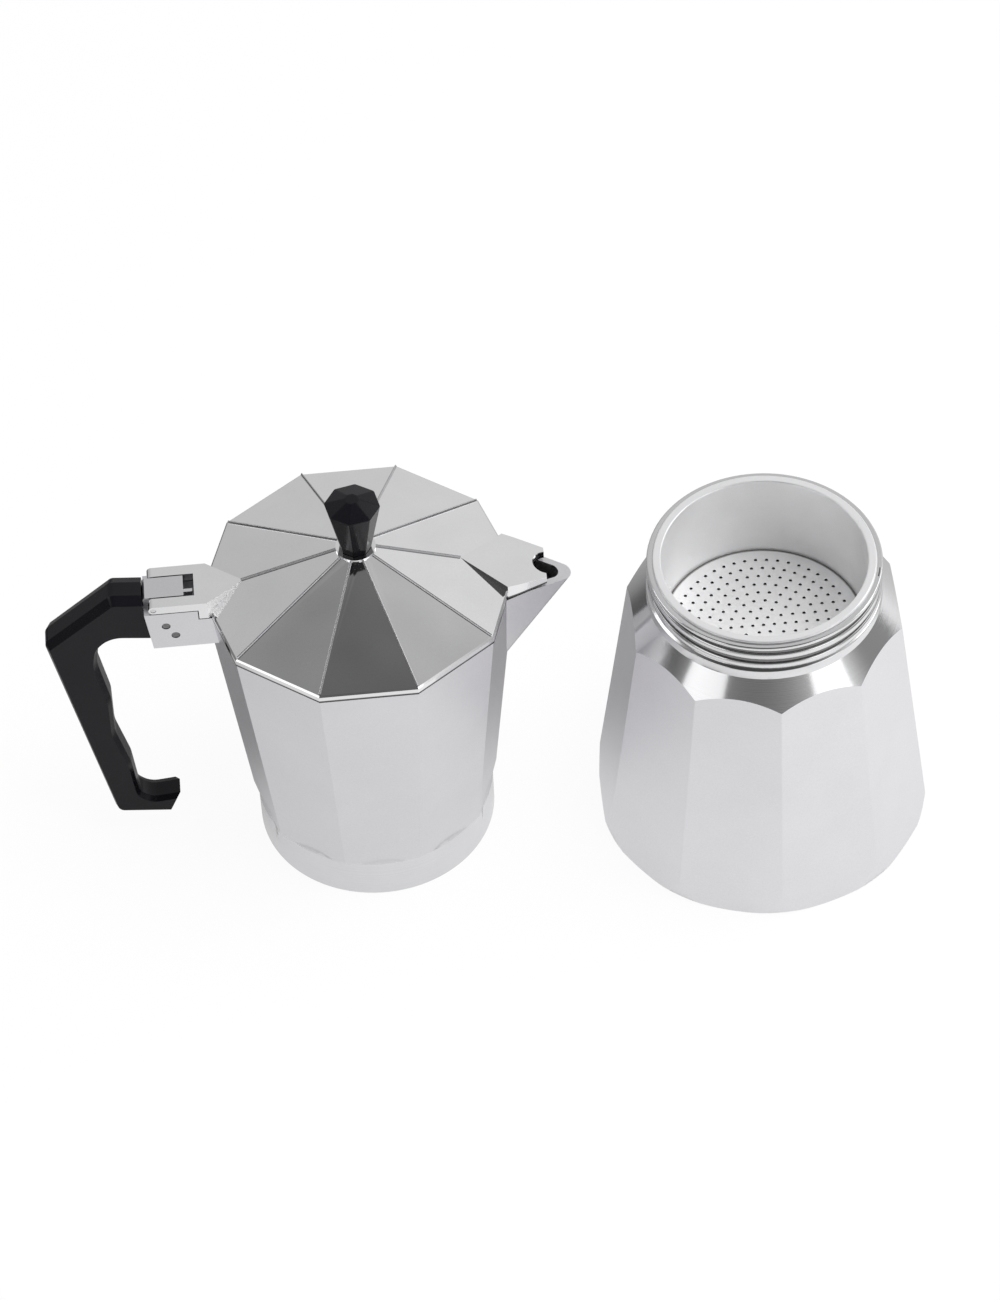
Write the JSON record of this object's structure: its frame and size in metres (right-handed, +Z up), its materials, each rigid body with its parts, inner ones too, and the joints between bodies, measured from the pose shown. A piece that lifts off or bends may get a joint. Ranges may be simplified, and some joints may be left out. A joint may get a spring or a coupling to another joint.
{
  "type": "moka pot",
  "caption": "Faceted aluminium stove-top coffee maker taken apart: lidded jug with an angular black handle beside its threaded boiler, which holds the funnel and its perforated sieve.",
  "frame": {"origin": "centre of the boiler's base, on the table", "axes": "+Z up; +X along the jug's line from handle to spout; the jug stands beside the boiler on the -X side"},
  "size_m": [0.2624, 0.1026, 0.1388],
  "materials": {
    "cast_boiler": "satin cast and turned aluminium",
    "cast_jug": "satin cast aluminium",
    "polished_lid": "polished aluminium",
    "pressed_sheet": "bright pressed aluminium sheet",
    "black_plastic": "glossy black moulded plastic",
    "gasket": "pale food-grade rubber",
    "seal": "red-brown fibre seal",
    "brass": "turned brass",
    "steel": "bright steel"
  },
  "bodies": {
    "boiler": {"boiler": "cast_boiler", "valve_body": "brass", "valve_seal": "seal", "valve_cap": "brass", "valve_spring": "steel"},
    "valve_pin": {"valve_pin": "brass"},
    "funnel": {"funnel_cup": "pressed_sheet", "funnel_tube": "pressed_sheet", "funnel_sieve": "pressed_sheet"},
    "jug": {"jug_body": "cast_jug", "gasket": "gasket", "filter_plate": "pressed_sheet", "handle": "black_plastic", "handle_pin_upper": "steel", "handle_pin_lower": "steel", "hinge_pin": "steel"},
    "lid": {"lid": "polished_lid", "knob": "black_plastic", "knob_insert": "brass", "knob_screw": "steel", "knob_washer": "steel"}
  },
  "joints": [
    {"name": "funnel_lift", "type": "slide", "parent": "boiler", "child": "funnel", "axis": [0, 0, 1], "range_m": [0, 0.1]},
    {"name": "jug_lift", "type": "slide", "parent": "boiler", "child": "jug", "axis": [0, 0, 1], "range_m": [0, 0.12]},
    {"name": "lid_hinge", "type": "hinge", "parent": "jug", "child": "lid", "pos_m": [-0.1794, 0.0074, 0.10675], "axis": [0, -1, 0], "range_deg": [0, 105]},
    {"name": "valve_release", "type": "slide", "parent": "boiler", "child": "valve_pin", "axis": [-0.309, 0.9511, 0], "range_m": [0, 0.0015], "stiffness_N_per_m": 1500, "springref_m": -0.002, "deforming": ["valve_spring"]}
  ]
}
